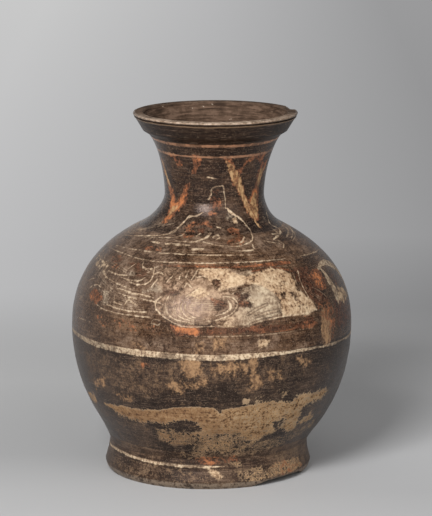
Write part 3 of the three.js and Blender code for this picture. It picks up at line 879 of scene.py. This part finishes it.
# Grey earthenware under a burnished brown-black slip, painted cold with mineral colours in thin glue.
# The slip gives a waxy shine and fine level wheel lines; the paint is dull, chalky and flaking;
# where both are gone the tan clay shows, rough and stained with earth.
def painted_earthenware(name, slip, worn_slip, dullness, rub_level, wheel_marks=0.28):
    material = bpy.data.materials.new(name)
    material.use_nodes = True
    tree = material.node_tree
    tree.nodes.clear()
    put = partial(add, tree)
    place = put("place")

    # Metres to the right, to the back and up
    across, depth, height = [put("axis", place, out=axis) for axis in range(3)]
    field = {attribute: put("field", attribute_name=attribute) for attribute in FIELDS}

    # The sum of some patterns, each by its share
    def mixed(*parts):
        total = put("times", *parts[0])
        for value, part in parts[1:]:
            total = put("times_plus", value, part, total)
        return total

    # The product of some masks
    def times(*values):
        total = values[0]
        for value in values[1:]:
            total = put("times", total, value)
        return total

    # A share of a mask: from low where the mask is 0 to high where it is 1
    def share(mask, low, high):
        return put("times_plus", mask, high - low, low)

    clouds, smears, flecks, fine, grit, wheel, runs, level, specks_inside = [
        put("blots", put("stretch", place, finer) if finer else place, GRAIN / size, detail, rough)
        for size, detail, rough, finer in PATTERNS
    ]
    rag = [put("minus", blot, 0.5) for blot in (smears, flecks, fine)]
    ragged = mixed((rag[0], 22.0), (rag[1], 18.0), (rag[2], 13.0))
    thin = put("step", mixed((flecks, 0.45), (fine, 0.25), (clouds, 0.3)), 0.36, 0.56)
    speckle = mixed((flecks, 0.5), (fine, 0.5))

    # How much of a patch is there: its field with a ragged edge, between two depths in millimetres
    def laid(patch, raggedness, low, high):
        return put("step", put("times_plus", ragged, raggedness, field[patch]), low, high)

    # Slip, darker and lighter in clouds, thinned in level streaks, worn to a paler skin in places; on
    # the shoulder's front, at the left and along its top, that paler skin is partly painted light
    tone = mixed(
        (clouds, 0.24),
        (smears, 0.2),
        (flecks, 0.2),
        (fine, 0.16),
        (wheel, wheel_marks),
        (grit, 0.1),
        (0.5, 0.1 - wheel_marks),
    )
    colour = put("ramp", tone, stops=list(zip((0.44, 0.5, 0.565), slip)))
    skin_tone = mixed((fine, 0.35), (flecks, 0.25), (smears, 0.4))
    skin = put("ramp", skin_tone, stops=list(zip((0.43, 0.5, 0.57), worn_slip)))
    worn_and_lit_zone = put("step", put("times_plus", rag[0], 50.0, field["worn"]), -8.0, 12.0)
    film_tone = mixed((flecks, 0.3), (fine, 0.35), (runs, 0.15), (wheel, 0.2))
    film = times(worn_and_lit_zone, share(put("step", film_tone, 0.43, 0.56), 0.25, 0.66))
    rub_tone = mixed((smears, 0.3), (flecks, 0.25), (fine, 0.2), (wheel, 0.25))
    rubbed = put("step", rub_tone, rub_level, rub_level + 0.07)
    colour = put("over", put("larger", film, times(rubbed, 0.55)), colour, skin)

    scratches = put("step", level, 0.59, 0.66)
    colour = put("over", times(scratches, 0.42), colour, srgb("#8d7563"))
    specks = put("step", mixed((fine, 0.55), (grit, 0.45)), 0.44, 0.4)
    colour = put("over", times(specks, 0.3), colour, srgb("#1c120c"))

    # At both far sides the slip is less rubbed, greyer at the left, partly a painted sheen of the light
    # from the left, and nearly black at the right, partly painted shade
    colour = put("over", times(put("step", across, -0.07, -0.135), 0.48), colour, srgb("#473c35"))
    colour = put("over", times(put("step", across, 0.09, 0.14), 0.5), colour, srgb("#2b221d"))

    # Dark red-brown of old glue and iron, in the hollows of the scrolls
    iron = put("ramp", speckle, stops=[(0.42, "#24140e"), (0.58, "#643a26")])
    colour = put("over", times(laid("maroon", 0.5, -0.5, 2.0), 0.72), colour, iron)

    # Earth and thin clay wash that ran down the belly, soft at its edges
    deep = laid("smudge", 0.25, 0.6, 2.6)
    earth_tone = mixed((fine, 0.35), (runs, 0.35), (smears, 0.2), (0.5, 0.1), (deep, 0.03))
    earth = put("ramp", earth_tone, stops=[(0.42, "#5b4434"), (0.5, "#86664a"), (0.57, "#b08a64")])
    smudge = times(laid("smudge", 0.7, -2.2, 3.0), share(thin, 0.45, 0.9))
    colour = put("over", put("larger", smudge, times(deep, 0.82)), colour, earth)

    # Tan clay where slip and paint have gone: even above with a pale sharp edge, crumbling below, and
    # stained redder at the left than at the right
    crumbling = put("step", height, 0.1, 0.075)
    crumbly = mixed((rag[0], 8.0), (rag[1], 18.0), (rag[2], 30.0))
    ragged_top = times(put("step", across, 0.03, 0.06), 0.75)
    crumbled = times(crumbly, put("larger", share(crumbling, 0.15, 0.75), ragged_top))
    tan_field = put("plus", field["tan"], crumbled)
    eaten = put("larger", put("step", height, 0.09, 0.05), times(put("step", across, 0.01, 0.05), 0.4))
    crumb_tone = mixed((fine, 0.5), (flecks, 0.3), (wheel, 0.2))
    crumbs = times(put("step", crumb_tone, 0.5, 0.55), share(eaten, 0.3, 0.95))
    tan = times(put("step", tan_field, -0.25, 0.35), put("minus", 1.0, crumbs))
    clay_tone = mixed((fine, 0.4), (flecks, 0.3), (wheel, 0.2), (smears, 0.1))
    red_clay = [(0.43, "#523625"), (0.47, "#825f41"), (0.52, "#a47e57"), (0.57, "#c8a278")]
    pale_clay = [(0.44, "#4c3422"), (0.48, "#a07c56"), (0.52, "#cba67a"), (0.57, "#e6c9a0")]
    clay = put(
        "over",
        put("step", put("plus", across, times(rag[0], 0.12)), -0.035, 0.075),
        put("ramp", clay_tone, stops=red_clay),
        put("ramp", clay_tone, stops=pale_clay),
    )
    sharp_edge = put("minus", 1.0, put("step", tan_field, 0.4, 1.4))
    clay = put("over", times(sharp_edge, 0.7), clay, srgb("#c4a888"))
    colour = put("over", times(tan, 0.92), colour, clay)

    # Iron red, thin over the slip, and the ochre hearts of the leaf points, streaked along the leaf
    orange = times(
        laid("orange", 0.36, -0.4, 0.9),
        share(put("step", fine, 0.4, 0.5), 0.35, 1.0),
        share(thin, 0.45, 0.9),
    )
    core = laid("orange", 0.2, 1.9, 3.0)
    red_tone = mixed((smears, 0.35), (fine, 0.3), (runs, 0.35), (core, 0.09))
    iron_red = [(0.42, "#46291c"), (0.49, "#6d432d"), (0.55, "#8f5a3d"), (0.63, "#c67b4b")]
    red = put("ramp", red_tone, stops=iron_red)
    thick = times(core, share(put("step", flecks, 0.42, 0.5), 0.6, 0.92))
    colour = put("over", put("larger", orange, thick), colour, red)
    streaks = put("step", mixed((runs, 0.7), (fine, 0.3)), 0.42, 0.5)
    ochre = times(laid("ochre", 0.2, -0.5, 0.6), share(streaks, 0.55, 1.0))
    ochre_tone = mixed((runs, 0.6), (fine, 0.4))
    heart = put("ramp", ochre_tone, stops=[(0.42, "#7a583c"), (0.5, "#a27c55"), (0.57, "#c6a074")])
    colour = put("over", ochre, colour, heart)
    red_width = put("plus", field["red_size"], times(rag[1], 1.8))
    red_line = times(
        put("step", put("minus", red_width, put("unsigned", field["red"])), -0.5, 0.45),
        put("step", field["red_within"], 0.0, 0.6),
        share(put("step", smears, 0.43, 0.53), 0.45, 0.95),
    )
    on_neck = share(put("step", height, 0.3, 0.31), 0.0, 0.6)
    colour = put("over", red_line, colour, put("over", on_neck, red, srgb("#b58a6c")))

    # The brush lines, each with a bare edge where the comb scraped the paint aside
    dry = put("step", mixed((clouds, 0.45), (smears, 0.55)), 0.42, 0.52)
    wobble = mixed((rag[0], 2.4), (rag[1], 1.4))
    lines = beside = None
    for line, strength in STRENGTHS.items():
        aside = put("to_and_fro", put("plus", field[line], wobble), PITCHES[line] / 2)
        width = mixed((rag[1], 1.9), (field[line + "_size"], 0.95), (1.0, -0.08))
        inside_by = put("minus", width, aside)
        within = field[line + "_within"]
        drawn = times(put("step", inside_by, -0.3, 0.5), put("step", within, 0.0, 0.8), strength)
        edged = times(put("step", inside_by, -2.2, -0.9), put("step", within, -1.2, 0.0))
        lines = put("larger", lines, drawn) if lines else drawn
        beside = put("larger", beside, edged) if beside else edged
    chalk_tone = mixed((flecks, 0.3), (smears, 0.2), (fine, 0.5))
    chalk = put("ramp", chalk_tone, stops=[(0.42, "#967c66"), (0.49, "#bfa283"), (0.56, "#e3ccac")])
    faint = times(
        share(put("step", across, -0.13, -0.06), 0.6, 1.0),
        share(put("step", across, 0.13, 0.07), 0.75, 1.0),
    )
    lines = times(lines, share(dry, 0.5, 1.0), share(put("step", fine, 0.42, 0.47), 0.68, 1.0), faint)

    # A thin veil of pale paint, then the cream patches, then the brush lines
    veil_flakes = put("step", mixed((smears, 0.4), (flecks, 0.4), (fine, 0.2)), 0.41, 0.53)
    veil = times(
        laid("veil", 0.4, -2.0, 3.0),
        share(veil_flakes, 0.62, 0.93),
        put("minus", 1.0, times(beside, 0.6)),
    )
    veil_tone = mixed((fine, 0.35), (smears, 0.4), (flecks, 0.25))
    veil_colour = put(
        "over",
        put("step", across, 0.015, 0.045),
        put("ramp", veil_tone, stops=[(0.43, "#856850"), (0.5, "#a4876d"), (0.57, "#c3a487")]),
        put("ramp", veil_tone, stops=[(0.43, "#9b836a"), (0.5, "#bda68a"), (0.57, "#d4c0a2")]),
    )
    colour = put("over", veil, colour, veil_colour)
    grey = times(laid("grey", 0.5, -0.5, 2.5), share(put("step", fine, 0.44, 0.54), 0.25, 0.6))
    grey_colour = put("ramp", flecks, stops=[(0.42, "#82725f"), (0.58, "#b2a089")])
    colour = put("over", grey, colour, grey_colour)
    cream_flakes = put("step", mixed((fine, 0.45), (flecks, 0.35), (grit, 0.2)), 0.42, 0.47)
    cream = times(laid("cream", 0.3, -1.6, 1.6), share(cream_flakes, 0.3, 1.0), share(thin, 0.78, 0.96))
    pale_tone = mixed((fine, 0.35), (flecks, 0.3), (smears, 0.35))
    pale_paint = [(0.42, "#86664c"), (0.46, "#b08e6c"), (0.52, "#cbac8a"), (0.59, "#e0c6a2")]
    colour = put("over", cream, colour, put("ramp", pale_tone, stops=pale_paint))
    colour = put("over", lines, colour, chalk)
    cream = put("larger", cream, lines)

    # The lip is rubbed to pale clay, most along its front, the drip edge less, and the foot's bevel is
    # rubbed grey; painted shade darkens the groove under the lip, and single grits show pale
    front = put("step", put("times", depth, -1.0), -0.02, 0.07)
    lip = times(
        put("step", height, (LIP_TOP - 2.6) * MM, (LIP_TOP - 1.1) * MM),
        share(front, 0.25, 1.0),
        share(put("step", mixed((flecks, 0.5), (wheel, 0.5)), 0.42, 0.52), 0.6, 1.0),
    )
    rim = put("unsigned", put("minus", put("plus", height, times(rag[0], 0.002)), DRIP_EDGE * MM))
    colour = put("over", times(put("step", rim, 0.0011, 0.0004), 0.6), colour, srgb("#94795f"))
    bare_lip = put("ramp", speckle, stops=[(0.43, "#a0866f"), (0.57, "#d3bba5")])
    colour = put("over", times(lip, 0.88), colour, bare_lip)
    bevel = times(
        put("step", height, SPREAD_HEIGHT * MM, (SPREAD_HEIGHT - 1.5) * MM),
        share(put("step", speckle, 0.45, 0.52), 0.1, 0.75),
    )
    colour = put("over", bevel, colour, srgb("#8c7c6b"))
    # Painted shade: a dark line in the groove under the lip
    groove = put("unsigned", put("minus", height, LIP_GROOVE * MM))
    colour = put("over", times(put("step", groove, 0.0009, 0.0004), 0.7), colour, srgb("#2a1c15"))
    pits = put("step", grit, 0.6, 0.67)
    colour = put("over", times(pits, 0.45), colour, srgb("#b1967a"))

    # Bare clay on the hidden faces, with wheel marks and pale specks
    hidden = put("step", field["behind"], 1.2, 2.4)
    inner_tone = mixed((wheel, 0.6), (smears, 0.4))
    inner = put("ramp", inner_tone, stops=[(0.42, "#35271d"), (0.5, "#544133"), (0.58, "#745d4d")])
    pale_specks = times(
        put("step", specks_inside, 0.72, 0.76),
        share(put("step", smears, 0.48, 0.56), 0.0, 0.9),
    )
    inner = put("over", pale_specks, inner, srgb("#b8a896"))
    colour = put("over", times(hidden, put("minus", 1.0, lip)), colour, inner)

    bare = put("larger", tan, times(cream, 0.75))
    dull = put("larger", bare, put("larger", times(orange, 0.5), hidden))
    roughness = mixed((dull, 0.34), (fine, 0.3), (rubbed, 0.08), (worn_and_lit_zone, 0.05), (1.0, dullness))
    relief = mixed(
        (wheel, 0.35),
        (fine, 0.4),
        (flecks, 0.4),
        (cream, 0.35),
        (pits, -0.5),
        (tan, -0.3),
        (grit, 0.15),
    )
    normal = put("relief", 0.6, 0.0006, relief)
    put("output", put("coat", colour, roughness, normal, 0.42, srgb("#f3d8cb")))
    return material


# Slips and the skins they wear to, each dark, middle and pale; how dull the slip is; the level above
# which it is rubbed thin, lower where more is rubbed; and the share of the wheel's lines
FINISHES = {
    "foot": painted_earthenware(
        "rubbed_earthenware_foot",
        ("#231913", "#433227", "#6a5543"),
        ("#50402f", "#6f5843", "#93785c"),
        0.3,
        0.53,
    ),
    "belly": painted_earthenware(
        "burnished_earthenware_belly",
        ("#17110e", "#281f1a", "#4c3c30"),
        ("#41332a", "#614b3b", "#876b51"),
        0.2,
        0.53,
    ),
    # The shoulder's slip is lighter than the belly's, partly painted light of the lamp's broad shine on
    # its top
    "painted_shoulder": painted_earthenware(
        "painted_earthenware_shoulder",
        ("#2b1b11", "#543c2a", "#80634b"),
        ("#4d3c2f", "#6c5748", "#8f7967"),
        0.15,
        0.53,
    ),
    "neck": painted_earthenware(
        "painted_earthenware_neck",
        ("#190f0b", "#2b1e17", "#4c382a"),
        ("#46352a", "#5f4b3d", "#7e6958"),
        0.1,
        0.55,
    ),
    "mouth": painted_earthenware(
        "rubbed_earthenware_mouth",
        ("#120b07", "#1f140e", "#36281f"),
        ("#372a21", "#4e3e32", "#6c594a"),
        0.26,
        0.57,
        0.6,
    ),
}


# A profile of a thrown wall: its outline upwards and its inner face back down
def walled(outline, wall, every):
    return np.vstack((outline, behind(outline, wall, every)[::-1]))


# The six sections: closed profile, steps round the front and the back, and finish
neck = np.vstack((OUTLINES["neck_root"], OUTLINES["neck_flare"][1:]))
mouth = OUTLINES["mouth"]
stand = FOOT_SPREAD - FOOT_BEVEL
foot_inside = straight(
    [
        (FOOT_TOP_RADIUS, FOOT_TOP),
        (FOOT_TOP_RADIUS - FOOT_WALL - FOOT_TAPER, FOOT_TOP),
        (stand - FOOT_WALL - FOOT_TAPER / 2, (SPREAD_HEIGHT + FOOT_TOP) / 2),
        (stand - FOOT_WALL, 0),
        (stand, 0),
    ],
    1.6,
)
mouth_inside = straight(
    [
        (LIP_RADIUS - 1.4, LIP_TOP),
        (LIP_RADIUS - LIP_WIDTH + 0.6, LIP_TOP),
        (LIP_RADIUS - LIP_WIDTH, LIP_TOP - 0.6),
        (LIP_RADIUS - LIP_WIDTH - 0.4, LIP_TOP - LEDGE_DROP),
        (LIP_RADIUS - LIP_WIDTH - LID_LEDGE, LIP_TOP - LEDGE_DROP),
        (MOUTH_SEAM_RADIUS - NECK_WALL * math.hypot(1, MOUTH_SLOPE), MOUTH_SEAM),
    ],
    1.4,
)
SECTIONS = {
    "foot_ring": (np.vstack((OUTLINES["foot"][:-1], foot_inside[:-1])), 300, 160, "foot"),
    "base_slab": (np.vstack(([(0, FOOT_TOP)], OUTLINES["slab"], [(0, SLAB_TOP)])), 300, 160, "foot"),
    "lower_belly": (walled(OUTLINES["lower_belly"], BELLY_WALL, 8), 380, 240, "belly"),
    "shoulder": (walled(OUTLINES["shoulder"], BELLY_WALL, 10), 460, 290, "painted_shoulder"),
    "neck": (walled(neck, NECK_WALL, 6), 300, 200, "neck"),
    "mouth_band": (np.vstack((mouth[:-1], mouth_inside)), 260, 180, "mouth"),
}
for node, (profile, front_steps, back_steps, slot) in SECTIONS.items():
    finish_section(throw(node + "_section", profile, front_steps, back_steps), node, FINISHES[slot])


# Studio: a wide pale sweep whose wall stands clear of every view, one soft lamp in front at the left,
# a weaker and wider one at the right, a faint one far at the left, and even light all round. Far behind
# the vase the paper glows for the camera and in reflections with painted light and shade of its own,
# lighter at the left than at the right.
SWEEP_WIDTH = 15
SWEEP_BACK = 7.5
SWEEP_RISE = 3
SWEEP_BEND = 1.3
CLOSE = 0.01

bpy.ops.object.select_all(action="DESELECT")
bpy.ops.mesh.primitive_plane_add(size=SWEEP_WIDTH, location=(0, SWEEP_BACK - SWEEP_WIDTH / 2, 0))
sweep = bpy.context.object
sweep.name = "sweep"
bpy.ops.object.transform_apply(location=True)
bpy.ops.object.mode_set(mode="EDIT")
bpy.ops.mesh.select_all(action="DESELECT")
bpy.ops.object.mode_set(mode="OBJECT")
for edge in sweep.data.edges:
    edge.select = all(sweep.data.vertices[i].co.y > SWEEP_BACK - CLOSE for i in edge.vertices)
bpy.ops.object.mode_set(mode="EDIT")
bpy.ops.mesh.select_mode(type="EDGE")
bpy.ops.mesh.extrude_region_move(TRANSFORM_OT_translate={"value": (0, 0, SWEEP_RISE)})
bpy.ops.object.mode_set(mode="OBJECT")
for edge in sweep.data.edges:
    ends = [sweep.data.vertices[i].co for i in edge.vertices]
    edge.select = all(end.y > SWEEP_BACK - CLOSE and end.z < CLOSE for end in ends)
bpy.ops.object.mode_set(mode="EDIT")
bpy.ops.mesh.bevel(offset=SWEEP_BEND, segments=32)
bpy.ops.object.mode_set(mode="OBJECT")
bpy.ops.object.shade_smooth()

# The paper's greys from left to right: on the wall high up, halfway and low down, and on the floor
# behind the vase, under its foot and before it. They are painted light and shade: lighter towards the
# lamps at the left, a painted shadow of the vase low on the wall at the right, and by the foot darker at
# the left, painted shade, and lighter at the right, painted light that thins the vase's shadow
PAPER_PAINTED_LIGHT_AND_SHADE = {
    "top": [(0, "#c8c8c8"), (0.5, "#b5b5b6"), (1, "#9a9a9b")],
    "far": [(0, "#c0c0c1"), (0.5, "#acacad"), (1, "#8f8f90")],
    "low": [(0, "#bdbdbe"), (0.35, "#b2b2b3"), (0.5, "#9b9b9c"), (1, "#7a7a7b")],
    "middle": [(0, "#e2e2e2"), (0.5, "#d2d2d2"), (1, "#c6c6c7")],
    "foot": [(0, "#b8b8b8"), (1, "#dadadb")],
    "floor": [(0, "#c8c8c8"), (1, "#c6c6c7")],
}
SEEN_HALF_WIDTH = 0.45
PAPER_ROUGHNESS = 0.95
ROOM_LIGHT = 0.215

# Matt paper: no shine. Near the vase it takes light and shadow over a floor colour with painted light
# and shade; far behind it glows, for the camera and in reflections, with painted light and shade.
paper = bpy.data.materials.new("matt_paper_sweep")
paper.use_nodes = True
paper.node_tree.nodes.clear()
put = partial(add, paper.node_tree)
place = put("place")
along = put("axis", place, out=1)
sideways = put("span", put("axis", place, out=0), -SEEN_HALF_WIDTH, SEEN_HALF_WIDTH)
grey = {part: put("ramp", sideways, stops=stops) for part, stops in PAPER_PAINTED_LIGHT_AND_SHADE.items()}
wall_glow_painted_light = put("over", put("span", along, 1.3, 4.8), grey["far"], grey["top"])
wall_glow_painted_light = put("over", put("span", along, 0.85, 1.4), grey["low"], wall_glow_painted_light)
floor_colour_and_painted_light = put("over", put("span", along, -0.12, 0.04), grey["floor"], grey["foot"])
floor_colour_and_painted_light = put("over", put("span", along, 0.04, 0.4), floor_colour_and_painted_light, grey["middle"])
# Painted light: far behind the vase the paper glows for the camera and in reflections
seen = put("larger", put("ray", out="Is Camera Ray"), put("ray", out="Is Glossy Ray"))
seen_far = put("times", seen, put("step", along, 0.45, 1.0))
matt = put("coat", floor_colour_and_painted_light, PAPER_ROUGHNESS)
put("output", put("either", seen_far, matt, put("glow", wall_glow_painted_light, 1.0)))
sweep.data.materials.append(paper)

world = bpy.data.worlds.new("soft_room")
world.use_nodes = True
world.node_tree.nodes["Background"].inputs["Color"].default_value = (1, 1, 1, 1)
world.node_tree.nodes["Background"].inputs["Strength"].default_value = ROOM_LIGHT
bpy.context.scene.world = world

LAMP_AIM = Vector((0, 0, 0.22))


def soft_lamp(name, place, size, watts):
    data = bpy.data.lights.new(name, "AREA")
    data.shape = "SQUARE"
    data.size = size
    data.energy = watts
    lamp = bpy.data.objects.new(name, data)
    bpy.context.scene.collection.objects.link(lamp)
    lamp.location = place
    lamp.rotation_euler = (LAMP_AIM - Vector(place)).to_track_quat("-Z", "Y").to_euler()


soft_lamp("front_left_lamp", (-0.75, -1.95, 1.5), 0.8, 51)
soft_lamp("front_right_lamp", (1.35, -2.2, 1.5), 2.4, 21)
soft_lamp("left_lamp", (-2.2, 0.2, 0.9), 1.3, 1.2)

bpy.context.scene.view_settings.view_transform = "Standard"
